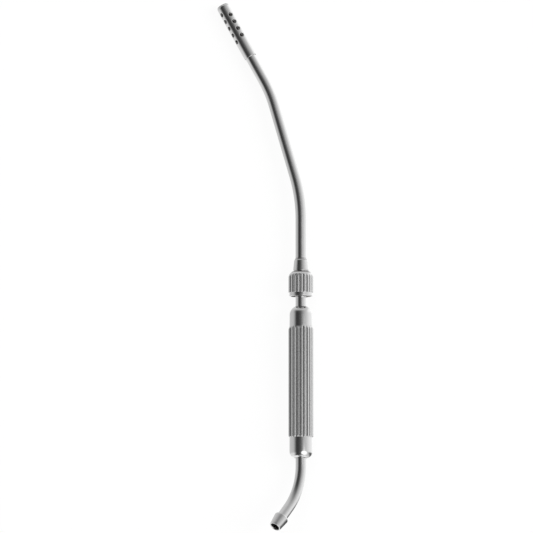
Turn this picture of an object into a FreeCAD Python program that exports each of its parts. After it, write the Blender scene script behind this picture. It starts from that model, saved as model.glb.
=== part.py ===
import FreeCAD, Part
import math
import os

from FreeCAD import Vector

# A curved suction tube of polished stainless steel for surgery, taken apart at a union nut.
# The bent working tube with its perforated tip is clamped to a fluted hollow handle. A second
# tube runs through the handle and leaves it, bent, as the outlet with its hose connector.
# All sizes are in millimetres. The handle's axis lies along Y and the tip points to +Y.
# The instrument lies on its side: the handle's flutes and the tip touch the plane Z = 0.

# Working tube, measured along its straight runs from corner to corner
tube_od = 7.1
tube_wall = 0.6
ferrule_to_bend_1 = 41.8
bend_1_to_bend_2 = 73.05
bend_2_to_tip = 27.5
bend_1_angle = 16.2
bend_2_angle = 12.45
bend_1_radius = 105.0
bend_2_radius = 82.0

# Perforated tip
tip_od = 8.5
tip_length = 40.0
tip_end_wall = 1.6
tip_corner_radius = 2.1
tip_crown = 0.5
tip_crown_radius = 5.0
tip_flat_r = 1.5
tip_socket_depth = 9.0
tip_hole_d = 2.8
tip_hole_pitch = 5.2
tip_first_hole = 6.2
tip_row_angle = 45.0
tip_holes_long_rows = 5
tip_holes_short_rows = 4
tip_base_chamfer = 0.25

# Ferrule on the foot of the working tube
cone_top_d = 8.8
cone_base_d = 10.4
cone_length = 7.3
cone_top_round = 0.9
cone_base_round = 0.3
journal_d = 9.0
ferrule_wall_below_tube = 0.5
nose_length = 3.4
seat_half_angle = 12.0
nose_end_chamfer = 0.2
seat_mouth_gap = 1.0

# Union nut
nut_od = 16.4
nut_height = 17.0
nut_collar_height = 2.45
nut_flute_bottom_d = 15.25
nut_end_wall = 3.2
nut_shoulder_round = 4.65
nut_rim_chamfer = 0.5
nut_crest_round = 0.3
nut_thread_length = 9.6
nut_relief_depth = 0.35

# Split ring that holds the nut on the ferrule
ring_thickness = 1.0
ring_width = 1.7
ring_gap_angle = 30.0
groove_depth = 0.5

# Threaded spigot on the neck
thread_od = 12.0
thread_end_gap = 1.6
spigot_head_length = 8.8
spigot_hub_d = 8.0
spigot_hub_round = 0.3
spigot_hub_below_nut = 0.8
spigot_socket_depth = 5.3
spigot_front_chamfer = 0.6

# Handle barrel
barrel_od = 16.5
barrel_length = 73.7
barrel_flute_bottom_d = 15.1
barrel_bore_d = 12.4
barrel_front_taper = 1.8
barrel_rear_taper = 0.6
flute_count = 22
land_share = 0.26

# Domed end caps of the handle
cap_d = 15.2
front_cap_nose_d = 14.9
front_cap_length = 13.75
rear_cap_length = 13.9
front_cap_round = 6.0
rear_cap_round = 4.5
cap_register_length = 6.0
cap_wall = 1.6
cap_end_wall = 3.5

# Tube through the handle, bent behind it as the outlet
outlet_od = 7.1
outlet_wall = 0.6
neck_length = 6.35
outlet_straight = 4.5
outlet_bend_angle = 42.6
outlet_bend_radius = 42.7
outlet_end_run = 17.9
outlet_rise_angle = 42.35

# Hose connector on the end of the outlet
connector_length = 9.4
connector_wide_d = 10.1
connector_mouth_d = 7.7
connector_back_round = 1.2
connector_lip_round = 0.3
connector_mouth_bore_d = 6.4
connector_mouth_chamfer = 0.6
connector_socket_depth = 4.4

# Clearances
braze_gap = 0.03
running_gap = 0.06
seat_gap = 0.06
ring_side_gap = 0.1
cone_gap = 0.15

# How far a drill or cutter runs past the face that it leaves
overcut = 1.0

# Stations along the handle's axis, counted from the handle's rear end
barrel_rear = rear_cap_length
barrel_front = barrel_rear + barrel_length
handle_front = barrel_front + front_cap_length
nut_rim = handle_front + neck_length
nut_top = nut_rim + nut_height
nut_shoulder = nut_top - nut_end_wall
cone_base = nut_top + cone_gap
cone_top = cone_base + cone_length
ring_rear = nut_shoulder - ring_thickness
groove_front = nut_shoulder + ring_side_gap
tube_foot = groove_front + ferrule_wall_below_tube
spigot_head_rear = nut_rim + thread_end_gap
spigot_front = spigot_head_rear + spigot_head_length
spigot_rear = nut_rim - spigot_hub_below_nut
core_front = spigot_rear + spigot_socket_depth
nose_start = spigot_front + seat_mouth_gap
nose_end = nose_start - nose_length

# Radii shared by mating pieces
tube_bore_r = tube_od / 2 - tube_wall
outlet_bore_r = outlet_od / 2 - outlet_wall
journal_r = journal_d / 2
groove_r = journal_r - groove_depth
thread_r = thread_od / 2
seat_slope = math.tan(math.radians(seat_half_angle))
nose_end_r = journal_r - nose_length * seat_slope
crown_slope = math.atan(tip_crown / (tip_od / 2 - tip_flat_r))
tip_corner_reach = tip_corner_radius * math.tan(math.pi / 4 - crown_slope / 2)

AXIS = Vector(0, 1, 0)
LEFT = Vector(-1, 0, 0)
ORIGIN = Vector(0, 0, 0)


def outline(corners):
    """Closed outline in the plane of the axis. Each corner is (station, radius) or
    (station, radius, rounding), and a rounded corner becomes a tangent arc."""
    edges = []
    starts = []
    ends = []
    arcs = []
    count = len(corners)
    for i, corner in enumerate(corners):
        here = Vector(corner[1], corner[0], 0)
        before = Vector(corners[i - 1][1], corners[i - 1][0], 0)
        after = Vector(corners[(i + 1) % count][1], corners[(i + 1) % count][0], 0)
        rounding = corner[2] if len(corner) > 2 else 0
        if rounding:
            back = (before - here).normalize()
            ahead = (after - here).normalize()
            half = back.getAngle(ahead) / 2
            reach = rounding / math.tan(half)
            centre = here + (back + ahead).normalize() * (rounding / math.sin(half))
            middle = centre + (here - centre).normalize() * rounding
            starts.append(here + back * reach)
            ends.append(here + ahead * reach)
            arcs.append(middle)
        else:
            starts.append(here)
            ends.append(here)
            arcs.append(None)
    for i in range(count):
        if arcs[i]:
            edges.append(Part.Arc(starts[i], arcs[i], ends[i]).toShape())
        following = starts[(i + 1) % count]
        if (following - ends[i]).Length > 1e-6:
            edges.append(Part.LineSegment(ends[i], following).toShape())
    return Part.Face(Part.Wire(edges))


def turned(corners, sweep=360):
    """Solid of revolution about the handle's axis."""
    return outline(corners).revolve(ORIGIN, AXIS, sweep)


def bore(radius, start, end):
    """Cylinder along the axis, for drilling."""
    return Part.makeCylinder(radius, end - start, Vector(0, start, 0), AXIS)


def flute_cutters(crest_r, bottom_r, start, end):
    """Ring of round-bottomed cutters along the axis. They leave narrow lands at the crest
    and a valley under the handle, so that it lies on two lands."""
    pitch = 2 * math.pi / flute_count
    half_width = crest_r * math.sin(pitch * (1 - land_share) / 2)
    depth = crest_r * math.cos(pitch * (1 - land_share) / 2) - bottom_r
    cutter_r = (half_width ** 2 + depth ** 2) / (2 * depth)
    cutters = []
    for i in range(flute_count):
        angle = -math.pi / 2 + i * pitch
        reach = bottom_r + cutter_r
        foot = Vector(reach * math.cos(angle), start, reach * math.sin(angle))
        cutters.append(Part.makeCylinder(cutter_r, end - start, foot, AXIS))
    return Part.makeCompound(cutters)


def centre_line(start, heading, bend_side, runs, bends):
    """Path of straight runs joined by tangent arcs. runs holds the corner-to-corner lengths
    and bends the (angle, radius) at each corner. Returns the wire, its end and its heading."""
    edges = []
    point = start
    spare = 0
    for i, run in enumerate(runs):
        corner = point + heading * (run - spare)
        if i == len(bends):
            edges.append(Part.LineSegment(point, corner).toShape())
            return Part.Wire(edges), corner, heading
        angle, radius = math.radians(bends[i][0]), bends[i][1]
        reach = radius * math.tan(angle / 2)
        arc_start = corner - heading * reach
        edges.append(Part.LineSegment(point, arc_start).toShape())
        centre = arc_start + bend_side * radius
        middle = centre + (heading * math.sin(angle / 2) - bend_side * math.cos(angle / 2)) * radius
        turned_heading = heading * math.cos(angle) + bend_side * math.sin(angle)
        turned_side = bend_side * math.cos(angle) - heading * math.sin(angle)
        arc_end = corner + turned_heading * reach
        edges.append(Part.Arc(arc_start, middle, arc_end).toShape())
        point, heading, bend_side, spare = arc_end, turned_heading, turned_side, reach


def tube_along(path, outer_r, wall):
    """Round tube swept along a path of runs and arcs."""
    start = path.Edges[0].valueAt(path.Edges[0].FirstParameter)
    heading = path.Edges[0].tangentAt(path.Edges[0].FirstParameter)
    rings = []
    for radius in (outer_r, outer_r - wall):
        ring = Part.Wire(Part.Circle(start, heading, radius).toShape())
        rings.append(path.makePipeShell([ring], True, False))
    return rings[0].cut(rings[1])


def aimed(shape, point, heading, side):
    """Moves a piece turned about +Y at the origin to a point, a heading and a side."""
    third = side.cross(heading)
    turn = FreeCAD.Rotation(side, heading, third, "YXZ")
    moved = shape.copy()
    moved.Placement = FreeCAD.Placement(point, turn)
    return moved


def make_suction_tip():
    """Turned and blind-bored sleeve with a crowned end. Its foot is the origin."""
    tip_r = tip_od / 2
    shell = turned([
        (0, 0),
        (0, tip_r - tip_base_chamfer),
        (tip_base_chamfer, tip_r),
        (tip_length - tip_crown, tip_r, tip_corner_radius),
        (tip_length, tip_flat_r, tip_crown_radius),
        (tip_length, 0),
    ])
    shell = shell.cut(bore(tube_od / 2 + braze_gap, -overcut, tip_socket_depth))
    shell = shell.cut(bore(tube_bore_r, tip_socket_depth - overcut, tip_length - tip_end_wall))
    drills = []
    rows = [(-tip_row_angle, tip_holes_long_rows, 0),
            (tip_row_angle, tip_holes_short_rows, tip_hole_pitch / 2)]
    for angle, holes, offset in rows:
        across = Vector(math.cos(math.radians(angle)), 0, math.sin(math.radians(angle)))
        for i in range(holes):
            station = tip_length - tip_first_hole - offset - i * tip_hole_pitch
            start = Vector(0, station, 0) - across * tip_od
            drills.append(Part.makeCylinder(tip_hole_d / 2, 2 * tip_od, start, across))
    return shell.cut(Part.makeCompound(drills))


def make_tube_ferrule():
    """Turned ferrule: cone above the nut, journal in it, ring groove and sealing nose."""
    body = turned([
        (nose_end, 0),
        (nose_end, nose_end_r - nose_end_chamfer),
        (nose_end + nose_end_chamfer, nose_end_r),
        (nose_start, journal_r),
        (ring_rear, journal_r),
        (ring_rear, groove_r),
        (groove_front, groove_r),
        (groove_front, journal_r),
        (cone_base, journal_r),
        (cone_base, cone_base_d / 2, cone_base_round),
        (cone_top, cone_top_d / 2, cone_top_round),
        (cone_top, 0),
    ])
    body = body.cut(bore(tube_od / 2 + braze_gap, tube_foot, cone_top + overcut))
    return body.cut(bore(tube_bore_r, nose_end - overcut, tube_foot + overcut))


def make_union_nut():
    """Turned nut with milled flutes, a plain collar at its rim and a threaded bore."""
    nut_r = nut_od / 2
    flute_r = nut_flute_bottom_d / 2
    collar_r = flute_r - running_gap
    collar_top = nut_rim + nut_collar_height
    body = turned([
        (nut_rim, 0),
        (nut_rim, collar_r, nut_rim_chamfer),
        (collar_top, collar_r),
        (collar_top, nut_r, nut_crest_round),
        (nut_top, nut_r, nut_shoulder_round),
        (nut_top, 0),
    ])
    body = body.cut(flute_cutters(nut_r, flute_r, collar_top - overcut, nut_top + overcut))
    thread_bore_r = thread_r + running_gap
    relief_r = thread_bore_r + nut_relief_depth
    cavity = turned([
        (nut_rim - overcut, 0),
        (nut_rim - overcut, thread_bore_r + nut_rim_chamfer + overcut),
        (nut_rim + nut_rim_chamfer, thread_bore_r),
        (nut_rim + nut_thread_length, thread_bore_r),
        (nut_rim + nut_thread_length, relief_r),
        (nut_shoulder, relief_r),
        (nut_shoulder, 0),
    ])
    body = body.cut(cavity)
    return body.cut(bore(journal_r + running_gap, nut_shoulder - overcut, nut_top + overcut))


def make_retaining_ring():
    """Split spring ring, square in section, snapped into the ferrule's groove."""
    inner_r = groove_r + running_gap
    ring = turned([
        (ring_rear, inner_r),
        (nut_shoulder, inner_r),
        (nut_shoulder, inner_r + ring_width),
        (ring_rear, inner_r + ring_width),
    ], 360 - ring_gap_angle)
    ring.rotate(ORIGIN, AXIS, ring_gap_angle / 2)
    return ring


def make_union_spigot():
    """Turned spigot with the male thread, the conical seat and a socket for the neck."""
    body = turned([
        (spigot_rear, 0),
        (spigot_rear, spigot_hub_d / 2, spigot_hub_round),
        (spigot_head_rear, spigot_hub_d / 2),
        (spigot_head_rear, thread_r - spigot_front_chamfer),
        (spigot_head_rear + spigot_front_chamfer, thread_r),
        (spigot_front - spigot_front_chamfer, thread_r),
        (spigot_front, thread_r - spigot_front_chamfer),
        (spigot_front, 0),
    ])
    seat_offset = seat_gap / math.cos(math.radians(seat_half_angle))
    seat_mouth_r = journal_r - (nose_start - spigot_front) * seat_slope + seat_offset
    seat_end = nose_end - seat_gap
    seat_end_r = seat_mouth_r - (spigot_front - seat_end) * seat_slope
    seat = turned([
        (seat_end, 0),
        (seat_end, seat_end_r),
        (spigot_front + overcut, seat_mouth_r + overcut * seat_slope),
        (spigot_front + overcut, 0),
    ])
    body = body.cut(seat)
    body = body.cut(bore(outlet_od / 2 + braze_gap, spigot_rear - overcut, core_front))
    return body.cut(bore(outlet_bore_r, core_front - overcut, spigot_front + overcut))


def make_handle_barrel():
    """Drawn tube with milled flutes, tapered at its ends and bored for the caps."""
    barrel_r = barrel_od / 2
    body = turned([
        (barrel_rear, 0),
        (barrel_rear, cap_d / 2),
        (barrel_rear + barrel_rear_taper, barrel_r),
        (barrel_front - barrel_front_taper, barrel_r),
        (barrel_front, cap_d / 2),
        (barrel_front, 0),
    ])
    start, end = barrel_rear - overcut, barrel_front + overcut
    body = body.cut(flute_cutters(barrel_r, barrel_flute_bottom_d / 2, start, end))
    return body.cut(bore(barrel_bore_d / 2, start, end))


def make_cap(end, seam, end_d, end_round):
    """Domed cap, turned hollow, with a register that plugs into the barrel's bore."""
    inward = 1 if seam > end else -1
    register_r = barrel_bore_d / 2 - braze_gap
    body = turned([
        (end, 0),
        (end, end_d / 2, end_round),
        (seam, cap_d / 2),
        (seam, register_r),
        (seam + inward * cap_register_length, register_r),
        (seam + inward * cap_register_length, 0),
    ])
    floor = end + inward * cap_end_wall
    mouth = seam + inward * (cap_register_length + overcut)
    body = body.cut(bore(register_r - cap_wall, min(floor, mouth), max(floor, mouth)))
    low, high = min(end, mouth) - overcut, max(end, mouth) + overcut
    return body.cut(bore(outlet_od / 2 + braze_gap, low, high))


def make_hose_connector():
    """Turned olive, wide at its back and narrow at its mouth. Its back is the origin."""
    body = turned([
        (0, 0),
        (0, connector_wide_d / 2, connector_back_round),
        (connector_length, connector_mouth_d / 2, connector_lip_round),
        (connector_length, 0),
    ])
    body = body.cut(bore(outlet_od / 2 + braze_gap, -overcut, connector_socket_depth))
    body = body.cut(bore(outlet_bore_r, connector_socket_depth - overcut, connector_length + overcut))
    mouth_r = connector_mouth_bore_d / 2
    flare = turned([
        (connector_length - connector_mouth_chamfer, 0),
        (connector_length - connector_mouth_chamfer, outlet_bore_r),
        (connector_length, mouth_r),
        (connector_length + overcut, mouth_r),
        (connector_length + overcut, 0),
    ])
    return body.cut(flare)


# Working tube: it leaves the ferrule along the axis and both bends turn to the left
tube_start = Vector(0, tube_foot, 0)
tube_runs = [cone_top - tube_foot + ferrule_to_bend_1, bend_1_to_bend_2,
             bend_2_to_tip + tip_socket_depth]
tube_bends = [(bend_1_angle, bend_1_radius), (bend_2_angle, bend_2_radius)]
tube_path, tube_end, tip_heading = centre_line(tube_start, AXIS, LEFT, tube_runs, tube_bends)
tip_foot = tube_end - tip_heading * tip_socket_depth
tip_side = Vector(tip_heading.y, -tip_heading.x, 0)
working_tube = tube_along(tube_path, tube_od / 2, tube_wall)
suction_tip = aimed(make_suction_tip(), tip_foot, tip_heading, tip_side)

# Outlet: through the handle to its rear, then bent to the left and up
rise = math.radians(outlet_rise_angle)
outlet_bend_side = Vector(-math.cos(rise), 0, math.sin(rise))
outlet_reach = outlet_bend_radius * math.tan(math.radians(outlet_bend_angle) / 2)
outlet_runs = [core_front + outlet_straight + outlet_reach,
               outlet_reach + outlet_end_run - connector_length + connector_socket_depth]
outlet_bends = [(outlet_bend_angle, outlet_bend_radius)]
outlet_start = Vector(0, core_front, 0)
outlet_path, outlet_end, outlet_heading = centre_line(
    outlet_start, AXIS * -1, outlet_bend_side, outlet_runs, outlet_bends)
outlet_tube = tube_along(outlet_path, outlet_od / 2, outlet_wall)
connector_back = outlet_end - outlet_heading * connector_socket_depth
connector_side = outlet_heading.cross(AXIS).normalize()
hose_connector = aimed(make_hose_connector(), connector_back, outlet_heading, connector_side)

handle_group = {
    "handle_barrel": make_handle_barrel(),
    "front_cap": make_cap(handle_front, barrel_front, front_cap_nose_d, front_cap_round),
    "rear_cap": make_cap(0, barrel_rear, cap_d, rear_cap_round),
    "outlet_tube": outlet_tube,
    "hose_connector": hose_connector,
    "union_spigot": make_union_spigot(),
    "union_nut": make_union_nut(),
    "retaining_ring": make_retaining_ring(),
}
tube_group = {
    "tube_ferrule": make_tube_ferrule(),
    "working_tube": working_tube,
    "suction_tip": suction_tip,
}

# The handle lies on two lands, and the working tube is rolled in the union until the tip
# touches the same plane
lowest_land = math.pi / flute_count * (1 - land_share)
axis_height = barrel_od / 2 * math.cos(lowest_land)
tip_round_start = tip_foot + tip_heading * (tip_length - tip_crown - tip_corner_reach)
roll = math.degrees(math.asin((axis_height - tip_od / 2) / -tip_round_start.x))
for shape in tube_group.values():
    shape.rotate(ORIGIN, AXIS, -roll)

# The origin is under the middle of the instrument's bounding box
nodes = {**handle_group, **tube_group}
box = Part.makeCompound(list(nodes.values())).optimalBoundingBox(False)
to_frame = Vector(-box.Center.x, -box.Center.y, axis_height)
os.makedirs("parts", exist_ok=True)
for name, shape in nodes.items():
    shape.translate(to_frame)
    shape.exportStep("parts/" + name + ".step")
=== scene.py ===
import math

import bmesh
import bpy
from mathutils import Matrix, Vector


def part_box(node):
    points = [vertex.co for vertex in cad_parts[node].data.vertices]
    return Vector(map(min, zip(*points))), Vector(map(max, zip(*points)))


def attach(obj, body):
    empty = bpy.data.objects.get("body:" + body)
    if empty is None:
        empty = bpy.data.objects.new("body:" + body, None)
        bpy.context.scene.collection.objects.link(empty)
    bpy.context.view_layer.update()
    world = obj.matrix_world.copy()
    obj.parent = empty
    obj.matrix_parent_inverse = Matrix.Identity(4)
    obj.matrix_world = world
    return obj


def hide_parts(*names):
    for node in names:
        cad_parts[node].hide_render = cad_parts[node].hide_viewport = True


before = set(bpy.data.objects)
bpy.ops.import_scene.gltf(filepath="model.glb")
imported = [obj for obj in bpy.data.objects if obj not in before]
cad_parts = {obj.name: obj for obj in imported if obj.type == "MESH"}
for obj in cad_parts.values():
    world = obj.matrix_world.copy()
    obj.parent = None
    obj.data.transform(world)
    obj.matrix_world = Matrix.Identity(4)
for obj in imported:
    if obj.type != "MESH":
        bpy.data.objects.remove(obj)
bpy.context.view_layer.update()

mm = 0.001

# Camera. It looks straight down on the instrument, but for six degrees, from the outlet's side.
# It stands far off behind a long lens, so that the picture has next to no perspective.
camera_distance = 5.0
camera_tilt = math.radians(6)
picture_width = 354.445 * mm
picture_centre = Vector((0.80, 0.82, 0)) * mm


def new_object(name, data):
    """Object with the given data, in the scene."""
    made = bpy.data.objects.new(name, data)
    bpy.context.collection.objects.link(made)
    return made


camera_back = Vector((0, -math.sin(camera_tilt), math.cos(camera_tilt)))
camera = new_object("camera", bpy.data.cameras.new("camera"))
camera.data.lens = camera.data.sensor_width * camera_distance / picture_width
camera.location = picture_centre + camera_back * camera_distance
camera.rotation_euler = (camera_tilt, 0, 0)
bpy.context.scene.camera = camera
bpy.context.scene.view_settings.view_transform = "Standard"

# Studio walls. White to the camera. The metal mirrors a room of its own: a dark strip overhead with
# a paler left and a bright right, patches of other tones laid over that, and a lit window.
# A place in the room is given as on a mirror ball seen from above, from -1 to 1 to the right and back.
wall_light = 0.28
room_light = 1.6
white = (1, 1, 1, 1)
strip_tones = [
    (-1.0, 0.80), (-0.86, 0.73), (-0.70, 0.69), (-0.62, 0.60), (-0.42, 0.06), (-0.30, 0.05), (-0.16, 0.07),
    (0.0, 0.14), (0.19, 0.43), (0.34, 0.62), (0.52, 0.84), (0.70, 1.08), (0.86, 1.18), (1.0, 1.28),
]
# Each patch has a tone and two stretches over which it fades in, one across the room and one along it
patches = {
    "back wall": (0.80, (0.62, 0.30), (0.30, 0.70)),
    "dark front right": (0.12, (0.50, 0.78), (-0.02, -0.30)),
    "pale front left": (1.02, (-0.36, -0.66), (-0.05, -0.40)),
    "bright back right": (1.34, (0.45, 0.72), (0.16, 0.46)),
    "table in front": (1.15, (0.52, 0.30), (-0.56, -0.70)),
}
window_centre = (0.27, -0.28)
window_half = (0.25, 0.30)
window_fade = (1.06, 0.92)
least_bulge = 0.0001


def add(tree, kind, settings=None, **inputs):
    """Adds a node to a tree. An input is named with underscores for blanks, or i and its number."""
    made = tree.nodes.new(kind)
    for key, value in (settings or {}).items():
        setattr(made, key, value)
    for key, value in inputs.items():
        by_number = key[0] == "i" and key[1:].isdigit()
        socket = made.inputs[int(key[1:]) if by_number else key.replace("_", " ")]
        if isinstance(value, bpy.types.NodeSocket):
            tree.links.new(value, socket)
        else:
            socket.default_value = value
    return made


def calc(tree, operation, *values, kind="ShaderNodeMath"):
    """Output of a math node on numbers or sockets."""
    inputs = {"i" + str(i): value for i, value in enumerate(values)}
    return add(tree, kind, {"operation": operation}, **inputs).outputs[0]


def hypotenuse(tree, one, other):
    """Length that two values at right angles make."""
    return calc(tree, "SQRT", calc(tree, "ADD", calc(tree, "MULTIPLY", one, one),
                                   calc(tree, "MULTIPLY", other, other)))


def fade(tree, value, start, end, low=0.0, high=1.0, curve="SMOOTHSTEP"):
    """Runs from low to high while the value runs from start to end."""
    return add(tree, "ShaderNodeMapRange", {"interpolation_type": curve}, Value=value,
               From_Min=start, From_Max=end, To_Min=low, To_Max=high).outputs[0]


def grey(tone):
    """Colour that shows as a tone in the room's light."""
    return (tone / room_light,) * 3 + (1,)


def laid_over(tree, room, label, tone, share):
    """Lays a tone over the room by a share."""
    return add(tree, "ShaderNodeMix", {"data_type": "RGBA", "label": label}, Factor=share,
               i6=room, i7=grey(tone)).outputs[2]


world = bpy.data.worlds.new("studio")
world.use_nodes = True
bpy.context.scene.world = world
tree = world.node_tree
tree.nodes.clear()
ray = add(tree, "ShaderNodeLightPath")
direction = add(tree, "ShaderNodeTexCoord").outputs["Generated"]
side = add(tree, "ShaderNodeSeparateXYZ", Vector=direction)
bulge = calc(tree, "SQRT", calc(tree, "MULTIPLY_ADD", side.outputs["Z"], 2.0, 2.0 + least_bulge))
across = calc(tree, "DIVIDE", side.outputs["X"], bulge)
ahead = calc(tree, "DIVIDE", side.outputs["Y"], bulge)
strip = add(tree, "ShaderNodeValToRGB", Fac=calc(tree, "MULTIPLY_ADD", across, 0.5, 0.5))
while len(strip.color_ramp.elements) < len(strip_tones):
    strip.color_ramp.elements.new(0.5)
for stop, (spot, tone) in zip(strip.color_ramp.elements, strip_tones):
    stop.position = spot / 2 + 0.5
    stop.color = grey(tone)
room = strip.outputs["Color"]
for label, (tone, fade_across, fade_ahead) in patches.items():
    share = calc(tree, "MULTIPLY", fade(tree, across, *fade_across), fade(tree, ahead, *fade_ahead))
    room = laid_over(tree, room, label, tone, share)
aside, beyond = (calc(tree, "DIVIDE", calc(tree, "SUBTRACT", value, middle), half)
                 for value, middle, half in zip((across, ahead), window_centre, window_half))
in_window = fade(tree, hypotenuse(tree, aside, beyond), *window_fade)
room = laid_over(tree, room, "window", room_light, in_window)
for_metal = add(tree, "ShaderNodeBackground", Color=room, Strength=room_light)
for_table = add(tree, "ShaderNodeBackground", Color=white, Strength=wall_light)
for_camera = add(tree, "ShaderNodeBackground", Color=white, Strength=1.0)
lit = add(tree, "ShaderNodeMixShader", i0=ray.outputs["Is Glossy Ray"],
          i1=for_table.outputs[0], i2=for_metal.outputs[0])
seen = add(tree, "ShaderNodeMixShader", i0=ray.outputs["Is Camera Ray"],
           i1=lit.outputs[0], i2=for_camera.outputs[0])
add(tree, "ShaderNodeOutputWorld", Surface=seen.outputs[0])

# Table. A matt white top under the instrument. The camera sees it white, with a trace of the soft
# shadow. The metal doesn't mirror it, because the room has tones of its own where the table lies.
table_reach = 2.0
table_tone = (0.86, 0.86, 0.86, 1)
white_share = 0.93
table_corners = ((-1, -1), (1, -1), (1, 1), (-1, 1))

mesh = bpy.data.meshes.new("floor")
mesh.from_pydata([(x * table_reach, y * table_reach, 0) for x, y in table_corners], [], [(0, 1, 2, 3)])
floor = new_object("floor", mesh)
paint = bpy.data.materials.new("white_table")
paint.use_nodes = True
tree = paint.node_tree
tree.nodes.clear()
ray = add(tree, "ShaderNodeLightPath")
matt = add(tree, "ShaderNodeBsdfDiffuse", Color=table_tone)
glow = add(tree, "ShaderNodeEmission", Color=white, Strength=1.0)
shown = calc(tree, "MAXIMUM", ray.outputs["Is Camera Ray"], ray.outputs["Is Transmission Ray"])
shown = calc(tree, "MULTIPLY", shown, white_share)
surface = add(tree, "ShaderNodeMixShader", i0=shown, i1=matt.outputs[0], i2=glow.outputs[0])
add(tree, "ShaderNodeOutputMaterial", Surface=surface.outputs[0])
mesh.materials.append(paint)
floor.visible_glossy = False

# Lamps. Two large soft lights, one on the right and one behind the tip, so that the shadow falls
# to the left and towards the outlet. The metal mirrors the room in their place.
lamp_spread = math.radians(40)
lamps = (("right_lamp", 3.0, -6, 52), ("back_lamp", 1.7, -44, -14))
for name, energy, lean_back, lean_side in lamps:
    lamp = new_object(name, bpy.data.lights.new(name, "SUN"))
    lamp.data.energy = energy
    lamp.data.angle = lamp_spread
    lamp.rotation_euler = (math.radians(lean_back), math.radians(lean_side), 0)
    lamp.visible_glossy = False

# Rear cap. A domed cap turned from stainless bar and bored for the tube that runs through the
# handle. Its register is pressed into the barrel, and it is polished with the barrel.
cap_d = 15.2
rear_cap_length = 13.9
rear_cap_round = 4.5
cap_register_length = 6.0
cap_register_r = 6.17
cap_bore_r = 4.57
cap_bore_round = 0.4
cap_end_wall = 3.5
outlet_socket_r = 3.58
edge_break = 0.12
cap_columns = 160
cap_dome_rows = 15
arc_step = math.radians(6)
nearly_straight = math.radians(89)
doubles_gap = 0.00001
sharp_angle = math.radians(32)
# A vertex less than this outside the bore's radius still counts as bore
bore_margin = 0.1


def outline(corners):
    """Points of a closed outline. A corner is (station, radius, rounding, rows), where rows is
    how many steps the straight run that leads to it is cut into. The last two may be left out."""
    spots = [Vector(corner[:2]) for corner in corners]
    arcs = []
    for i, here in enumerate(spots):
        rounding = corners[i][2] if len(corners[i]) > 2 else edge_break
        to_last = (spots[i - 1] - here).normalized()
        to_next = (spots[(i + 1) % len(spots)] - here).normalized()
        half = to_last.angle(to_next) / 2
        if not rounding or half > nearly_straight:
            arcs.append([here])
            continue
        reach = rounding / math.tan(half)
        centre = here + (to_last + to_next).normalized() * (rounding / math.sin(half))
        start, end = here + to_last * reach - centre, here + to_next * reach - centre
        steps = max(2, math.ceil(start.angle(end) / arc_step))
        turn = start.angle_signed(end)
        arcs.append([centre + Matrix.Rotation(-turn * k / steps, 2) @ start for k in range(steps + 1)])
    points = []
    for i, arc in enumerate(arcs):
        rows = corners[i][3] if len(corners[i]) > 3 else 1
        points += [arcs[i - 1][-1].lerp(arc[0], k / rows) for k in range(1, rows)] + arc
    return points


def on_round(radius, station, angle):
    """Spot at a radius and an angle round Y, in metres."""
    return radius * math.cos(angle) * mm, station * mm, radius * math.sin(angle) * mm


def skin(shape, lines, closed, round_lines):
    """Adds faces between each line of vertices and the next. Closed joins the last line to the
    first, and round lines have their ends joined."""
    for one, other in zip(lines, lines[1:] + (lines[:1] if closed else [])):
        for k in range(len(one) if round_lines else len(one) - 1):
            after = (k + 1) % len(one)
            shape.faces.new((one[k], one[after], other[after], other[k]))


def revolve(shape, points, columns, closed):
    """Adds the surface that points make when they are turned about Y."""
    angles = [2 * math.pi * k / columns for k in range(columns)]
    rings = [[shape.verts.new(on_round(radius, station, angle)) for angle in angles]
             for station, radius in points]
    skin(shape, rings, closed, True)


def mesh_of(name, shape):
    """Mesh of a shape whose faces are all there."""
    mesh = bpy.data.meshes.new(name)
    shape.to_mesh(mesh)
    shape.free()
    return mesh


def smooth_sided(mesh):
    """Smooths all but the sharp edges."""
    mesh.shade_smooth()
    mesh.set_sharp_from_angle(angle=sharp_angle)


def finished_mesh(name, shape):
    """Merges doubles, turns the faces outwards and smooths the sides."""
    bmesh.ops.remove_doubles(shape, verts=shape.verts, dist=doubles_gap * mm)
    bmesh.ops.dissolve_degenerate(shape, dist=doubles_gap * mm, edges=shape.edges)
    bmesh.ops.recalc_face_normals(shape, faces=shape.faces)
    mesh = mesh_of(name, shape)
    smooth_sided(mesh)
    return mesh


def turned(name, corners, columns):
    """Mesh of a closed outline turned about Y."""
    shape = bmesh.new()
    revolve(shape, outline(corners), columns, True)
    return finished_mesh(name, shape)


def placed(name, mesh, place, material, skin_r):
    """Object from a mesh that lies along Y. Before the mesh is put in its place, each vertex keeps
    its station, its direction from the axis and whether it lies in the bore, for the material."""
    for label, kind in (("along", "FLOAT"), ("around", "FLOAT_VECTOR"), ("inside", "FLOAT")):
        mesh.attributes.new(label, kind, "POINT")
    along, around, inside = (mesh.attributes[label] for label in ("along", "around", "inside"))
    for i, vertex in enumerate(mesh.vertices):
        x, y, z = vertex.co
        radius = math.hypot(x, z)
        along.data[i].value = y / mm
        around.data[i].vector = (x / radius, z / radius, 0) if radius else (0, 0, 0)
        least = skin_r(y / mm) if callable(skin_r) else skin_r
        inside.data[i].value = 1.0 if radius < least * mm else 0.0
    mesh.transform(place)
    mesh.materials.clear()
    mesh.materials.append(material)
    return new_object(name, mesh)


# Steel: most of the noise lies in noise_range. It takes the roughness from the smoothest to the
# roughest share of its value.
noise_range = (0.3, 0.7)
smoothest_share = 0.85
roughest_share = 1.2
cloud_scale = 130.0
# The bores are rougher, and their colour is darkened and a little warmed as painted shade.
bore_roughness = 0.22
bore_shade_share = 0.45
bore_shade_tint = (1.0, 0.98, 0.96)


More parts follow.
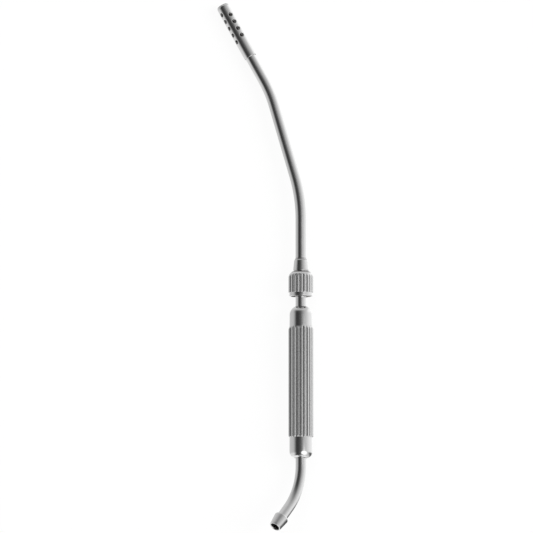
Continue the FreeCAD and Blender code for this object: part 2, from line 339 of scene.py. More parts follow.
def steel(name, tone, roughness, grain_along, grain_around, grain_depth, blotch=0.05):
    """Bare stainless steel. Its marks are fine noise, stretched along the piece or round it,
    that moves the roughness and a bump. Bores are rougher than the polished outside, and their
    colour is darkened as painted shade."""
    made = bpy.data.materials.new(name)
    made.use_nodes = True
    tree = made.node_tree
    along = add(tree, "ShaderNodeAttribute", {"attribute_name": "along"}).outputs["Fac"]
    around = add(tree, "ShaderNodeAttribute", {"attribute_name": "around"}).outputs["Vector"]
    inside = add(tree, "ShaderNodeAttribute", {"attribute_name": "inside"}).outputs["Fac"]
    bearing = add(tree, "ShaderNodeSeparateXYZ", Vector=around)
    grain = add(tree, "ShaderNodeCombineXYZ",
                X=calc(tree, "MULTIPLY", bearing.outputs["X"], grain_around),
                Y=calc(tree, "MULTIPLY", bearing.outputs["Y"], grain_around),
                Z=calc(tree, "MULTIPLY", along, grain_along)).outputs[0]
    marks = add(tree, "ShaderNodeTexNoise", Vector=grain, Scale=1.0, Detail=3.0, Roughness=0.6)
    where = add(tree, "ShaderNodeTexCoord").outputs["Object"]
    clouds = add(tree, "ShaderNodeTexNoise", Vector=where, Scale=cloud_scale, Detail=2.0)
    polish = fade(tree, marks.outputs["Fac"], *noise_range,
                  roughness * smoothest_share, roughness * roughest_share, "LINEAR")
    smear = fade(tree, clouds.outputs["Fac"], *noise_range, -blotch / 2, blotch / 2, "LINEAR")
    polish = calc(tree, "MULTIPLY_ADD", inside, bore_roughness, calc(tree, "ADD", polish, smear))
    bright = (tone,) * 3 + (1,)
    # The bores' darker colour is painted shade.
    painted_bore_shade = tuple(part * tone * bore_shade_share for part in bore_shade_tint) + (1,)
    colour = add(tree, "ShaderNodeMix", {"data_type": "RGBA"}, Factor=inside, i6=bright, i7=painted_bore_shade)
    relief = add(tree, "ShaderNodeBump", Height=marks.outputs["Fac"], Strength=1.0,
                 Distance=grain_depth * mm)
    shader = tree.nodes["Principled BSDF"]
    shader.inputs["Metallic"].default_value = 1.0
    tree.links.new(polish, shader.inputs["Roughness"])
    tree.links.new(colour.outputs[2], shader.inputs["Base Color"])
    tree.links.new(relief.outputs["Normal"], shader.inputs["Normal"])
    return made


def dome(end, inward, bore_r, outer_r, rounding, rows):
    """Corners of a dome, from the bore at its end out to its full radius."""
    centre_r = outer_r - rounding
    start = math.asin((bore_r - centre_r) / rounding)
    angles = [start + (math.pi / 2 - start) * k / rows for k in range(rows + 1)]
    return [(end + inward * rounding * (1 - math.cos(angle)), centre_r + rounding * math.sin(angle), 0)
            for angle in angles]


def cap_corners(end, inward, length, end_r, end_round):
    """Outline of a cap from the bore at its end, over the dome, to its register and bore."""
    seam = end + inward * length
    tail = seam + inward * cap_register_length
    shelf = end + inward * cap_end_wall
    return dome(end, inward, outlet_socket_r, end_r, end_round, cap_dome_rows) + [
        (seam, cap_d / 2),
        (seam, cap_register_r, 0),
        (tail, cap_register_r),
        (tail, cap_bore_r),
        (shelf, cap_bore_r, cap_bore_round),
        (shelf, outlet_socket_r),
    ]


axis_x, _, axis_z = ((low + high) / 2 for low, high in zip(*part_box("rear_cap")))
handle_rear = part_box("handle_barrel")[0][1] - rear_cap_length * mm
on_handle = Matrix.Translation((axis_x, handle_rear, axis_z))

turned_steel = steel("turned_steel", tone=0.68, roughness=0.17, grain_along=9.0, grain_around=1.2,
                     grain_depth=0.0006)
mesh = turned("rear_cap", cap_corners(0, 1, rear_cap_length, cap_d / 2, rear_cap_round), cap_columns)
rear_cap = placed("rear_cap_dome", mesh, on_handle, turned_steel, cap_bore_r + bore_margin)
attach(rear_cap, "handle")
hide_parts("rear_cap")

# Front cap. The same cap for the other end of the handle, turned with a rounder dome and pressed
# into the barrel. The neck comes out of it.
front_cap_nose_d = 14.9
front_cap_length = 13.75
front_cap_round = 6.0
barrel_length = 73.7

handle_front = rear_cap_length + barrel_length + front_cap_length
mesh = turned("front_cap", cap_corners(handle_front, -1, front_cap_length, front_cap_nose_d / 2,
                                       front_cap_round), cap_columns)
front_cap = placed("front_cap_dome", mesh, on_handle, turned_steel, cap_bore_r + bore_margin)
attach(front_cap, "handle")
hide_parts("front_cap")

# Barrel. A length of stainless tube with 22 round-bottomed flutes milled along it, tapered at
# both ends down to the caps. The lands between the flutes are narrow and polished. One of them
# is on top, two degrees to the right.
barrel_od = 16.5
barrel_bore_d = 12.4
barrel_flute_bottom_d = 15.1
barrel_front_taper = 1.8
barrel_rear_taper = 0.6
barrel_seam_round = 0.05
barrel_taper_round = 0.1
barrel_land_blend = 0.1
flute_count = 22
flute_turn = math.radians(2)
land_share = 0.26
flute_columns = 18


def geometry_tree(name, inputs):
    """Empty geometry tree with named inputs of the given kinds. Returns it with its input sockets."""
    tree = bpy.data.node_groups.new(name, "GeometryNodeTree")
    tree.interface.new_socket("Geometry", in_out="INPUT", socket_type="NodeSocketGeometry")
    tree.interface.new_socket("Geometry", in_out="OUTPUT", socket_type="NodeSocketGeometry")
    for label, kind in inputs.items():
        tree.interface.new_socket(label, in_out="INPUT", socket_type="NodeSocket" + kind)
    return tree, tree.nodes.new("NodeGroupInput").outputs


def ends_with(tree, geometry, material):
    """Closes a geometry tree with Realize Instances and Set Material."""
    real = add(tree, "GeometryNodeRealizeInstances", Geometry=geometry)
    done = add(tree, "GeometryNodeSetMaterial", Geometry=real.outputs[0], Material=material)
    add(tree, "NodeGroupOutput", Geometry=done.outputs[0])


def shaped(source, tree, **values):
    """Runs a geometry tree on a mesh or curve and returns the result as a plain mesh."""
    host = new_object("host", source)
    modifier = host.modifiers.new("shape", "NODES")
    modifier.node_group = tree
    for item in tree.interface.items_tree:
        key = item.name.replace(" ", "_").lower()
        if item.in_out == "INPUT" and key in values:
            modifier[item.identifier] = values[key]
    bpy.context.view_layer.update()
    result = host.evaluated_get(bpy.context.evaluated_depsgraph_get())
    mesh = bpy.data.meshes.new_from_object(result)
    host.modifiers.remove(modifier)
    bpy.data.objects.remove(host)
    return mesh


def polar(tree):
    """Place of each vertex: its x, y and z, and its radius and angle round Y."""
    place = add(tree, "GeometryNodeInputPosition").outputs[0]
    x, y, z = add(tree, "ShaderNodeSeparateXYZ", Vector=place).outputs
    return x, y, z, hypotenuse(tree, x, z), calc(tree, "ARCTAN2", z, x)


def moved_to(tree, geometry, x, y, z, radius, new_radius):
    """Moves each vertex straight in or out, to a new radius."""
    scale = calc(tree, "DIVIDE", new_radius, radius)
    target = add(tree, "ShaderNodeCombineXYZ", X=calc(tree, "MULTIPLY", x, scale), Y=y,
                 Z=calc(tree, "MULTIPLY", z, scale)).outputs[0]
    return add(tree, "GeometryNodeSetPosition", Geometry=geometry, Position=target).outputs[0]


# Flutes: each vertex outside the bore is drawn in to the wall of the round cutter that passed at
# its angle, with a small blend at the edge, as polishing leaves it. Angles are counted from below,
# where a land lies, and a whole turn on. Where the cutter missed, its wall lies far out.
count_from_below = 2.5 * math.pi
far_out = 10 * mm

flutes, given = geometry_tree("milled_flutes", {
    "Count": "Int", "Turn": "Float", "Bottom radius": "Float", "Cutter radius": "Float",
    "Edge blend": "Float", "Material": "Material"})
x, y, z, radius, angle = polar(flutes)
pitch = calc(flutes, "DIVIDE", 2 * math.pi, given["Count"])
half_pitch = calc(flutes, "MULTIPLY", pitch, 0.5)
bearing = calc(flutes, "ADD", calc(flutes, "ADD", angle, count_from_below), given["Turn"])
off = calc(flutes, "SUBTRACT", calc(flutes, "FLOORED_MODULO", bearing, pitch), half_pitch)
centre = calc(flutes, "ADD", given["Bottom radius"], given["Cutter radius"])
aside = calc(flutes, "MULTIPLY", centre, calc(flutes, "SINE", off))
reach = calc(flutes, "SUBTRACT", calc(flutes, "MULTIPLY", given["Cutter radius"], given["Cutter radius"]),
             calc(flutes, "MULTIPLY", aside, aside))
chord = calc(flutes, "SQRT", calc(flutes, "MAXIMUM", reach, 0.0))
wall = calc(flutes, "SUBTRACT", calc(flutes, "MULTIPLY", centre, calc(flutes, "COSINE", off)), chord)
missed = calc(flutes, "LESS_THAN", reach, 0.0)
wall = calc(flutes, "MULTIPLY_ADD", missed, far_out, wall)
milled = calc(flutes, "SMOOTH_MIN", radius, wall, given["Edge blend"])
ends_with(flutes, moved_to(flutes, given["Geometry"], x, y, z, radius, milled), given["Material"])


def cutter_r(crest_r, bottom_r):
    """Radius of the cutter that leaves lands of the given share between flutes."""
    half = math.pi / flute_count * (1 - land_share)
    half_width = crest_r * math.sin(half)
    depth = crest_r * math.cos(half) - bottom_r
    return (half_width ** 2 + depth ** 2) / (2 * depth)


def fluted(mesh, crest_r, bottom_r, blend):
    """Mills the flutes into a turned mesh."""
    return shaped(mesh, flutes, count=flute_count, turn=flute_turn, bottom_radius=bottom_r * mm,
                  cutter_radius=cutter_r(crest_r, bottom_r) * mm, edge_blend=blend * mm,
                  material=fluted_steel)


barrel_rear = rear_cap_length
barrel_front = barrel_rear + barrel_length
barrel_r = barrel_od / 2
fluted_steel = steel("fluted_steel", tone=0.68, roughness=0.19, grain_along=0.05, grain_around=40.0,
                     grain_depth=0.0001, blotch=0.01)
mesh = turned("barrel", [
    (barrel_rear, barrel_bore_d / 2, 0),
    (barrel_rear, cap_d / 2, barrel_seam_round, 2),
    (barrel_rear + barrel_rear_taper, barrel_r, barrel_taper_round, 8),
    (barrel_front - barrel_front_taper, barrel_r, barrel_taper_round, 24),
    (barrel_front, cap_d / 2, barrel_seam_round, 14),
    (barrel_front, barrel_bore_d / 2, 0, 2),
], flute_count * flute_columns)
mesh = fluted(mesh, barrel_r, barrel_flute_bottom_d / 2, barrel_land_blend)
barrel = placed("fluted_barrel", mesh, on_handle, fluted_steel, barrel_bore_d / 2 + bore_margin)
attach(barrel, "handle")
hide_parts("handle_barrel")

# Tube through the handle. One drawn stainless tube from the union to the hose connector, brazed
# at both ends, seen as the neck in front of the handle and bent to the side behind it.
outlet_od = 7.1
outlet_wall = 0.6
neck_length = 6.35
spigot_hub_below_nut = 0.8
spigot_socket_depth = 5.3
outlet_straight = 4.5
outlet_bend_angle = 42.6
outlet_bend_radius = 42.7
outlet_end_run = 17.9
outlet_rise_angle = 42.35
connector_length = 9.4
connector_socket_depth = 4.4
tube_columns = 96
curve_rows = 28


def stored(tree, geometry, label, kind, value):
    """Geometry with a value kept on its points under a name."""
    return add(tree, "GeometryNodeStoreNamedAttribute", {"data_type": kind},
               Geometry=geometry, Name=label, i3=value).outputs[0]


# Drawn tube: two skins swept along the line, the outside and the bore, with what placed keeps
drawn_tube, given = geometry_tree("drawn_tube", {
    "Outer radius": "Float", "Wall": "Float", "Columns": "Int", "Material": "Material"})
length = add(drawn_tube, "GeometryNodeSplineParameter").outputs["Length"]
line = stored(drawn_tube, given["Geometry"], "along", "FLOAT", calc(drawn_tube, "MULTIPLY", length, 1 / mm))
skins = []
for inside in (0.0, 1.0):
    size = calc(drawn_tube, "SUBTRACT", given["Outer radius"],
                calc(drawn_tube, "MULTIPLY", given["Wall"], inside))
    circle = add(drawn_tube, "GeometryNodeCurvePrimitiveCircle", Resolution=given["Columns"], Radius=size)
    place = add(drawn_tube, "GeometryNodeInputPosition").outputs[0]
    unit = calc(drawn_tube, "NORMALIZE", place, kind="ShaderNodeVectorMath")
    profile = stored(drawn_tube, circle.outputs[0], "around", "FLOAT_VECTOR", unit)
    swept = add(drawn_tube, "GeometryNodeCurveToMesh", Curve=line, Profile_Curve=profile)
    skins.append(stored(drawn_tube, swept.outputs[0], "inside", "FLOAT", inside))
both = add(drawn_tube, "GeometryNodeJoinGeometry")
for swept in skins:
    drawn_tube.links.new(swept, both.inputs[0])
ends_with(drawn_tube, both.outputs[0], given["Material"])


def bent_line(start, heading, side, runs, bends):
    """Curve of straight runs and arcs. runs are from corner to corner, bends are (degrees,
    radius). Each arc is one Bezier stretch. Returns the curve, its end and its heading."""
    stations = [(start, heading, 0, 0)]
    corner = start
    for run, (degrees, radius) in zip(runs, bends):
        corner = corner + heading * run
        angle = math.radians(degrees)
        reach = radius * math.tan(angle / 2)
        grip = 4 / 3 * math.tan(angle / 4) * radius
        stations.append((corner - heading * reach, heading, 0, grip))
        bent_heading = heading * math.cos(angle) + side * math.sin(angle)
        side = side * math.cos(angle) - heading * math.sin(angle)
        heading = bent_heading
        stations.append((corner + heading * reach, heading, grip, 0))
    end = corner + heading * runs[-1]
    stations.append((end, heading, 0, 0))
    curve = bpy.data.curves.new("line", "CURVE")
    curve.dimensions = "3D"
    curve.resolution_u = curve_rows
    spline = curve.splines.new("BEZIER")
    spline.bezier_points.add(len(stations) - 1)
    for i, (spot, aim, before, after) in enumerate(stations):
        if not before:
            before = (spot - stations[i - 1][0]).length / 3 if i else 1
        if not after:
            after = (stations[i + 1][0] - spot).length / 3 if i + 1 < len(stations) else 1
        knot = spline.bezier_points[i]
        knot.handle_left_type = knot.handle_right_type = "FREE"
        knot.co = spot * mm
        knot.handle_left = (spot - aim * before) * mm
        knot.handle_right = (spot + aim * after) * mm
    return curve, end, heading


def drawn(name, curve, outer_r, wall, place, material):
    """Tube with a wall along a curve, closed at its ends, as an object in its place."""
    mesh = shaped(curve, drawn_tube, outer_radius=outer_r * mm, wall=wall * mm,
                  columns=tube_columns, material=material)
    shape = bmesh.new()
    shape.from_mesh(mesh)
    along = shape.verts.layers.float["along"]
    inside = shape.verts.layers.float["inside"]
    around = shape.verts.layers.float_vector["around"]
    middle = max(vertex[along] for vertex in shape.verts) / 2
    inner_rim = {}
    for vertex in shape.verts:
        if vertex.is_boundary and vertex[inside] > 0.5:
            inner_rim[vertex[along] < middle, vertex[around].to_tuple(3)] = vertex
    outer_rims = [edge for edge in shape.edges if edge.is_boundary and edge.verts[0][inside] < 0.5]
    for edge in outer_rims:
        one, other = edge.verts
        facing = [inner_rim[vertex[along] < middle, vertex[around].to_tuple(3)] for vertex in (other, one)]
        shape.faces.new((one, other, *facing))
    bmesh.ops.recalc_face_normals(shape, faces=shape.faces)
    shape.to_mesh(mesh)
    shape.free()
    smooth_sided(mesh)
    mesh.transform(place)
    return new_object(name, mesh)


nut_rim = handle_front + neck_length
core_front = nut_rim - spigot_hub_below_nut + spigot_socket_depth
rise = math.radians(outlet_rise_angle)
outlet_side = Vector((-math.cos(rise), 0, math.sin(rise)))
outlet_reach = outlet_bend_radius * math.tan(math.radians(outlet_bend_angle) / 2)
curve, outlet_end, outlet_heading = bent_line(
    Vector((0, core_front, 0)), Vector((0, -1, 0)), outlet_side,
    [core_front + outlet_straight + outlet_reach,
     outlet_reach + outlet_end_run - connector_length + connector_socket_depth],
    [(outlet_bend_angle, outlet_bend_radius)])
tube_steel = steel("tube_steel", tone=0.68, roughness=0.17, grain_along=0.3, grain_around=26.0,
                   grain_depth=0.0005)
outlet = drawn("outlet_pipe", curve, outlet_od / 2, outlet_wall, on_handle, tube_steel)
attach(outlet, "handle")
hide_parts("outlet_tube")

# Hose connector. A short olive turned from stainless bar, wide at its back to hold the hose and
# narrow at its mouth, brazed over the end of the outlet.
connector_wide_d = 10.1
connector_mouth_d = 7.7
connector_back_round = 1.2
connector_lip_round = 0.3
connector_mouth_bore_d = 6.4
connector_mouth_chamfer = 0.6
connector_mouth_round = 0.08
fitting_columns = 128


def aimed(point, heading, side):
    """Matrix that takes a piece turned about Y at the origin to a point and a heading."""
    matrix = Matrix((side, heading, side.cross(heading))).transposed().to_4x4()
    matrix.translation = point * mm
    return matrix


outlet_bore_r = outlet_od / 2 - outlet_wall
connector_back = outlet_end - outlet_heading * connector_socket_depth
connector_side = outlet_heading.cross(Vector((0, 1, 0))).normalized()
mesh = turned("connector", [
    (0, outlet_socket_r, 0),
    (0, connector_wide_d / 2, connector_back_round),
    (connector_length, connector_mouth_d / 2, connector_lip_round, 6),
    (connector_length, connector_mouth_bore_d / 2, connector_mouth_round),
    (connector_length - connector_mouth_chamfer, outlet_bore_r, connector_mouth_round),
    (connector_socket_depth, outlet_bore_r),
    (connector_socket_depth, outlet_socket_r, 0),
], fitting_columns)
on_outlet = on_handle @ aimed(connector_back, outlet_heading, connector_side)
connector = placed("hose_olive", mesh, on_outlet, turned_steel, outlet_bore_r + bore_margin)
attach(connector, "handle")
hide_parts("hose_connector")

# Union spigot. A turned fitting brazed on the neck, with the male thread for the nut and the
# ground seat for the working tube's nose. Only its hub shows while the union is closed.
thread_od = 12.0
thread_pitch = 1.5
thread_depth = 0.8
thread_end_gap = 1.6
thread_lead_in = 0.4
thread_run_out = 0.6
spigot_head_length = 8.8
spigot_hub_d = 8.0
spigot_hub_round = 0.3
spigot_front_chamfer = 0.6
journal_d = 9.0
nose_length = 3.4
seat_mouth_gap = 1.0
seat_mouth_round = 0.1
seat_gap = 0.06
seat_slope = math.tan(math.radians(12))
thread_rows_a_turn = 12
spigot_columns = 144

# Thread: vertices that lie on the thread's cylinder are moved in or out by a rounded wave that
# climbs one pitch a turn, right-handed, and fades over a pitch at the thread's ends
flank_steepness = 2.4
root_blend = 0.2
on_cylinder = 0.02 * mm

threading, given = geometry_tree("cut_thread", {
    "Radius": "Float", "Pitch": "Float", "Depth": "Float", "Start": "Float", "End": "Float",
    "Material": "Material"})
x, y, z, radius, angle = polar(threading)
phase = calc(threading, "ADD", calc(threading, "DIVIDE", y, given["Pitch"]),
             calc(threading, "DIVIDE", angle, 2 * math.pi))
flank = calc(threading, "MULTIPLY", calc(threading, "PINGPONG", phase, 0.5), flank_steepness)
wave = calc(threading, "SUBTRACT", 1.0, calc(threading, "SMOOTH_MIN", flank, 1.0, root_blend))
wave = calc(threading, "MAXIMUM", wave, 0.0)
into = calc(threading, "DIVIDE", calc(threading, "SUBTRACT", y, given["Start"]), given["Pitch"])
out = calc(threading, "DIVIDE", calc(threading, "SUBTRACT", given["End"], y), given["Pitch"])
share = calc(threading, "MINIMUM", calc(threading, "MINIMUM", into, out), 1.0)
share = calc(threading, "MAXIMUM", share, 0.0)
near = calc(threading, "COMPARE", radius, given["Radius"], on_cylinder)
shift = calc(threading, "MULTIPLY", calc(threading, "MULTIPLY", wave, share),
             calc(threading, "MULTIPLY", near, given["Depth"]))
cut = calc(threading, "SUBTRACT", radius, shift)
ends_with(threading, moved_to(threading, given["Geometry"], x, y, z, radius, cut), given["Material"])


def threaded(mesh, radius, depth, start, end, material):
    """Cuts the thread into a turned mesh. A depth below zero cuts outwards, into a bore."""
    return shaped(mesh, threading, radius=radius * mm, pitch=thread_pitch * mm, depth=depth * mm,
                  start=start * mm, end=end * mm, material=material)


thread_r = thread_od / 2
journal_r = journal_d / 2
spigot_rear = nut_rim - spigot_hub_below_nut
spigot_head_rear = nut_rim + thread_end_gap
spigot_front = spigot_head_rear + spigot_head_length
nose_start = spigot_front + seat_mouth_gap
nose_end = nose_start - nose_length
seat_mouth_r = journal_r - seat_mouth_gap * seat_slope + seat_gap
seat_end = nose_end - seat_gap
seat_end_r = seat_mouth_r - (spigot_front - seat_end) * seat_slope
thread_rows = math.ceil(spigot_head_length / thread_pitch * thread_rows_a_turn)
mesh = turned("spigot", [
    (spigot_rear, outlet_socket_r, 0),
    (spigot_rear, spigot_hub_d / 2, spigot_hub_round),
    (spigot_head_rear, spigot_hub_d / 2, 0),
    (spigot_head_rear, thread_r - spigot_front_chamfer, 0),
    (spigot_head_rear + spigot_front_chamfer, thread_r, 0),
    (spigot_front - spigot_front_chamfer, thread_r, 0, thread_rows),
    (spigot_front, thread_r - spigot_front_chamfer, 0),
    (spigot_front, seat_mouth_r, seat_mouth_round),
    (seat_end, seat_end_r, 0),
    (seat_end, outlet_bore_r, 0),
    (core_front, outlet_bore_r, 0),
    (core_front, outlet_socket_r, 0),
], spigot_columns)
mesh = threaded(mesh, thread_r, thread_depth, spigot_head_rear + thread_lead_in,
                spigot_front + thread_run_out, turned_steel)
spigot = placed("threaded_spigot", mesh, on_handle, turned_steel, outlet_socket_r + bore_margin)
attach(spigot, "handle")
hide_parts("union_spigot")

# Union nut. Turned from stainless bar, threaded inside and milled with the barrel's number of
# flutes, which run out in scallops over its rounded shoulder. The rim is a plain collar.
nut_od = 16.4
nut_height = 17.0
nut_collar_height = 2.45
nut_collar_top_round = 0.05
nut_flute_bottom_d = 15.25
nut_flute_end_round = 0.3
nut_land_blend = 0.06
nut_end_wall = 3.2
nut_shoulder_round = 4.65
nut_shoulder_rows = 30
nut_rim_chamfer = 0.5
nut_rim_round = 0.25
nut_bore_round = 0.1
nut_thread_length = 9.6
nut_thread_depth = 0.45
nut_thread_run_out = 0.5
nut_relief_depth = 0.35
nut_bore_margin = 0.6
running_gap = 0.06

nut_r = nut_od / 2
nut_top = nut_rim + nut_height
nut_shoulder = nut_top - nut_end_wall
nut_thread_end = nut_rim + nut_thread_length
collar_top = nut_rim + nut_collar_height
collar_r = nut_flute_bottom_d / 2 - running_gap
thread_bore_r = thread_r + running_gap
journal_bore_r = journal_r + running_gap
thread_rows = math.ceil(nut_thread_length / thread_pitch * thread_rows_a_turn)
shoulder = dome(nut_top, -1, journal_bore_r, nut_r, nut_shoulder_round, nut_shoulder_rows)
shoulder_foot = shoulder.pop()
mesh = turned("nut", [
    (nut_rim, thread_bore_r + nut_rim_chamfer, 0),
    (nut_rim, collar_r, nut_rim_round),
    (collar_top, collar_r, nut_collar_top_round),
    (collar_top, nut_r, nut_flute_end_round, 3),
    (*shoulder_foot, 6),
    *reversed(shoulder),
    (nut_shoulder, journal_bore_r, nut_bore_round),
    (nut_shoulder, thread_bore_r + nut_relief_depth, 0),
    (nut_thread_end, thread_bore_r + nut_relief_depth, 0),
    (nut_thread_end, thread_bore_r, 0),
    (nut_rim + nut_rim_chamfer, thread_bore_r, 0, thread_rows),
], flute_count * flute_columns)
mesh = fluted(mesh, nut_r, nut_flute_bottom_d / 2, nut_land_blend)
mesh = threaded(mesh, thread_bore_r, -nut_thread_depth, nut_rim - nut_thread_run_out,
                nut_thread_end + nut_thread_run_out, fluted_steel)
nut = placed("fluted_nut", mesh, on_handle, fluted_steel, thread_bore_r + nut_bore_margin)
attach(nut, "nut")
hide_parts("union_nut")

# Retaining ring. A split ring of spring steel in the ferrule's groove, inside the nut. It keeps
# the shape of its solid.
spring_steel = steel("spring_steel", tone=0.5, roughness=0.3, grain_along=3.0, grain_around=3.0,
                     grain_depth=0.0005)
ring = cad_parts["retaining_ring"]
ring.data.materials.clear()
ring.data.materials.append(spring_steel)

# Ferrule. Turned and brazed on the foot of the working tube, with a small fillet of braze on top.
# Its cone stands on the nut, and its journal, ring groove and sealing nose are inside the union.
tube_od = 7.1
tube_wall = 0.6
cone_top_d = 8.8
cone_base_d = 10.4
cone_length = 7.3
cone_top_round = 0.9
cone_base_round = 0.3
cone_gap = 0.15
ring_thickness = 1.0
ring_side_gap = 0.1
groove_depth = 0.5
ferrule_wall_below_tube = 0.5
nose_end_chamfer = 0.2
braze_gap = 0.03
braze_height = 1.1
braze_width = 0.33
braze_foot_height = 0.05
braze_hollow = 0.3
braze_top_width = 0.02
ferrule_bore_margin = 0.05

tube_bore_r = tube_od / 2 - tube_wall
tube_socket_r = tube_od / 2 + braze_gap
cone_base = nut_top + cone_gap
cone_top = cone_base + cone_length
ring_rear = nut_shoulder - ring_thickness
groove_front = nut_shoulder + ring_side_gap
tube_foot = groove_front + ferrule_wall_below_tube
nose_end_r = journal_r - nose_length * seat_slope
mesh = turned("ferrule", [
    (nose_end, tube_bore_r, 0),
    (nose_end, nose_end_r, nose_end_chamfer),
    (nose_start, journal_r),
    (ring_rear, journal_r),
    (ring_rear, journal_r - groove_depth),
    (groove_front, journal_r - groove_depth),
    (groove_front, journal_r),
    (cone_base, journal_r, 0),
    (cone_base, cone_base_d / 2, cone_base_round),
    (cone_top, cone_top_d / 2, cone_top_round, 4),
    (cone_top + braze_foot_height, tube_socket_r + braze_width, braze_hollow),
    (cone_top + braze_height, tube_socket_r + braze_top_width, braze_top_width),
    (cone_top + braze_height, tube_socket_r, 0),
    (tube_foot, tube_socket_r, 0),
    (tube_foot, tube_bore_r, 0),
], fitting_columns)
ferrule = placed("cone_ferrule", mesh, on_handle, turned_steel, tube_socket_r + ferrule_bore_margin)
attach(ferrule, "tube")
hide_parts("tube_ferrule")

# Working tube. A drawn stainless tube, bent twice to the same side and polished lengthwise. It
# is rolled in the union until its tip touches the table.
ferrule_to_bend_1 = 41.8
bend_1_to_bend_2 = 73.05
bend_2_to_tip = 27.5
bend_1 = (16.2, 105.0)
bend_2 = (12.45, 82.0)
tip_od = 8.5
tip_length = 40.0
tip_crown = 0.5
tip_corner_radius = 2.1
tip_flat_r = 1.5
tip_socket_depth = 9.0

curve, tube_end, tip_heading = bent_line(
    Vector((0, tube_foot, 0)), Vector((0, 1, 0)), Vector((-1, 0, 0)),
    [cone_top - tube_foot + ferrule_to_bend_1, bend_1_to_bend_2, bend_2_to_tip + tip_socket_depth],
    [bend_1, bend_2])
tip_foot = tube_end - tip_heading * tip_socket_depth
crown_slope = math.atan(tip_crown / (tip_od / 2 - tip_flat_r))
corner_reach = tip_corner_radius * math.tan(math.pi / 4 - crown_slope / 2)
touch = tip_foot + tip_heading * (tip_length - tip_crown - corner_reach)
roll = math.asin((axis_z / mm - tip_od / 2) / -touch.x)
on_tube = on_handle @ Matrix.Rotation(-roll, 4, "Y")
working_tube = drawn("bent_tube", curve, tube_od / 2, tube_wall, on_tube, tube_steel)
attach(working_tube, "tube")
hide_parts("working_tube")

# Suction tip. A thicker sleeve brazed over the tube's end, with a domed end and four rows of
# drilled holes, five and four in turn. The holes' edges are rounded so that they don't catch.
# The sleeve is turned a little on the tube, with both upper rows nearer the left.
tip_end_wall = 1.6
tip_hole_d = 2.8
tip_hole_pitch = 5.2
tip_first_hole = 6.2
tip_holes_long_rows = 5
tip_holes_short_rows = 4
tip_base_chamfer = 0.25
hole_edge_round = 0.45
sleeve_turn = math.radians(13)
tip_bore_margin = 0.05
cell_side = 24
cell_rows = 7
cell_crowding = 1.6
hole_edge_rows = 5
bore_rows = 4
tip_corner_rows = 12
tip_crown_rows = 8
cell_gap = 0.002

tip_r = tip_od / 2
hole_r = tip_hole_d / 2


def wall_run(radius, edge_r, bearing, rim_angle, rim_station, shares):
    """Spots on a round wall between the edge of a hole, at share 0, and the cell's rim, at 1."""
    edge_angle = math.asin(edge_r * math.cos(bearing) / radius)
    edge_station = edge_r * math.sin(bearing)
    return [on_round(radius, edge_station + (rim_station - edge_station) * share,
                     edge_angle + (rim_angle - edge_angle) * share) for share in shares]


def perforated_cell():
    """A quarter of the sleeve's wall, one pitch long, with a drilled hole in its middle. Each line
    runs from the cell's rim to the hole, over its rounded edge and out again over the bore."""
    steps = [2 * k / cell_side - 1 for k in range(cell_side)]
    rim = [(step, -1) for step in steps] + [(1, step) for step in steps]
    rim += [(-step, 1) for step in steps] + [(-1, -step) for step in steps]
    outer_shares = [(1 - k / cell_rows) ** cell_crowding for k in range(cell_rows + 1)]
    bore_shares = [k / bore_rows for k in range(bore_rows + 1)]
    shape = bmesh.new()
    lines = []
    for u, v in rim:
        angle, station = u * math.pi / 4, v * tip_hole_pitch / 2
        bearing = math.atan2(station, angle * tip_r)
        spots = wall_run(tip_r, hole_r + hole_edge_round, bearing, angle, station, outer_shares)
        for k in range(1, hole_edge_rows + 1):
            lean = math.pi / 2 * k / hole_edge_rows
            reach = hole_r + hole_edge_round * (1 - math.sin(lean))
            level = math.sqrt(tip_r ** 2 - (reach * math.cos(bearing)) ** 2)
            height = level - hole_edge_round * (1 - math.cos(lean))
            spots.append((height * mm, reach * math.sin(bearing) * mm, reach * math.cos(bearing) * mm))
        spots += wall_run(tube_bore_r, hole_r, bearing, angle, station, bore_shares)
        lines.append([shape.verts.new(spot) for spot in spots])
    skin(shape, lines, True, False)
    return mesh_of("cell", shape)


def plain_cell():
    """A quarter of the sleeve's wall, half a pitch long, with no hole."""
    angles = [math.pi / 4 * (2 * i / cell_side - 1) for i in range(cell_side + 1)]
    stations = [tip_hole_pitch * (k / cell_side - 0.25) for k in range(cell_side // 2 + 1)]
    shape = bmesh.new()
    for radius in (tip_r, tube_bore_r):
        lines = [[shape.verts.new(on_round(radius, station, angle)) for station in stations]
                 for angle in angles]
        skin(shape, lines, False, False)
    return mesh_of("plain", shape)


# Rows of holes: cells stand along each quarter of the sleeve, and plain half cells fill the ends
# of the short rows. The sleeve's foot and end come in as the geometry.
perforation, given = geometry_tree("drilled_rows", {
    "Cell": "Object", "Plain": "Object", "Long row": "Int", "Short row": "Int", "Pitch": "Float",
    "First hole": "Float", "Material": "Material"})
parts = add(perforation, "GeometryNodeJoinGeometry")
perforation.links.new(given["Geometry"], parts.inputs[0])
cell = add(perforation, "GeometryNodeObjectInfo", Object=given["Cell"]).outputs["Geometry"]
blank = add(perforation, "GeometryNodeObjectInfo", Object=given["Plain"]).outputs["Geometry"]


def stand(piece, count, first, step, angle):
    """Stands copies of a piece along the sleeve, at one angle."""
    start = add(perforation, "ShaderNodeCombineXYZ", Y=first).outputs[0]
    stride = add(perforation, "ShaderNodeCombineXYZ", Y=step).outputs[0]
    line = add(perforation, "GeometryNodeMeshLine", Count=count, Start_Location=start, Offset=stride)
    copies = add(perforation, "GeometryNodeInstanceOnPoints", Points=line.outputs[0], Instance=piece,
                 Rotation=(0, -angle, 0))
    perforation.links.new(copies.outputs[0], parts.inputs[0])


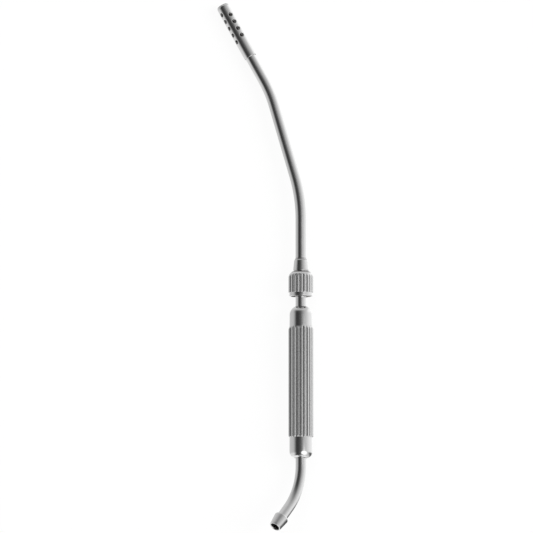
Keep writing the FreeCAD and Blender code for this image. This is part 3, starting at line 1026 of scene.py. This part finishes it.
one_back = calc(perforation, "MULTIPLY", given["Pitch"], -1.0)
short_first = calc(perforation, "MULTIPLY_ADD", given["Pitch"], -0.5, given["First hole"])
blank_first = calc(perforation, "MULTIPLY_ADD", given["Pitch"], 0.25, given["First hole"])
pitches_apart = calc(perforation, "SUBTRACT", given["Long row"], 0.5)
between_blanks = calc(perforation, "MULTIPLY", pitches_apart, one_back)
for quarter in range(4):
    angle = math.radians(90 * quarter - 45)
    if quarter % 2 == 0:
        stand(cell, given["Long row"], given["First hole"], one_back, angle)
    else:
        stand(cell, given["Short row"], short_first, one_back, angle)
        stand(blank, 2, blank_first, between_blanks, angle)
ends_with(perforation, parts.outputs[0], given["Material"])

first_hole = tip_length - tip_first_hole
holes_top = first_hole + tip_hole_pitch / 2
holes_foot = holes_top - tip_holes_long_rows * tip_hole_pitch
foot = outline([
    (tip_socket_depth, tip_r, 0),
    (0, tip_r, tip_base_chamfer, 6),
    (0, tube_socket_r, 0),
    (tip_socket_depth, tube_socket_r, 0),
    (tip_socket_depth, tube_bore_r, 0),
])
foot = [(holes_foot, tip_r), *foot, (holes_foot, tube_bore_r)]
crown = [(holes_top, tip_r)]
corner_centre = Vector((tip_length - tip_crown - corner_reach, tip_r - tip_corner_radius))
for k in range(tip_corner_rows + 1):
    angle = (math.pi / 2 - crown_slope) * k / tip_corner_rows
    crown.append((corner_centre.x + tip_corner_radius * math.sin(angle),
                  corner_centre.y + tip_corner_radius * math.cos(angle)))
crown_start = Vector(crown[-1])
for k in range(1, tip_crown_rows + 1):
    share = k / tip_crown_rows
    crown.append((crown_start.x + (tip_length - crown_start.x) * (1 - (1 - share) ** 2),
                  crown_start.y * (1 - share)))
bore_end = tip_length - tip_end_wall
bore = [(bore_end, 0.0), (bore_end, tube_bore_r), (holes_top, tube_bore_r)]
sleeve = bmesh.new()
for points in (foot, crown, bore):
    revolve(sleeve, points, 4 * cell_side, False)
hole_cell = bpy.data.objects.new("hole_cell", perforated_cell())
blank_cell = bpy.data.objects.new("plain_cell", plain_cell())
mesh = shaped(mesh_of("sleeve", sleeve), perforation, cell=hole_cell, plain=blank_cell,
              long_row=tip_holes_long_rows, short_row=tip_holes_short_rows,
              pitch=tip_hole_pitch * mm, first_hole=first_hole * mm, material=tube_steel)
bpy.data.objects.remove(hole_cell)
bpy.data.objects.remove(blank_cell)
shape = bmesh.new()
shape.from_mesh(mesh)
bmesh.ops.remove_doubles(shape, verts=shape.verts, dist=cell_gap * mm)
mesh = finished_mesh("tip", shape)
tip_side = Matrix.Rotation(-sleeve_turn, 3, tip_heading) @ Vector((tip_heading.y, -tip_heading.x, 0))


def tip_skin(station):
    """Radius under which the sleeve's surface is bore or drilled wall."""
    drilled = holes_foot < station < holes_top
    return tube_socket_r - bore_margin if drilled else tube_socket_r + tip_bore_margin


on_tube_end = on_tube @ aimed(tip_foot, tip_heading, tip_side)
tip = placed("perforated_tip", mesh, on_tube_end, tube_steel, tip_skin)
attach(tip, "tube")
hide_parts("suction_tip")
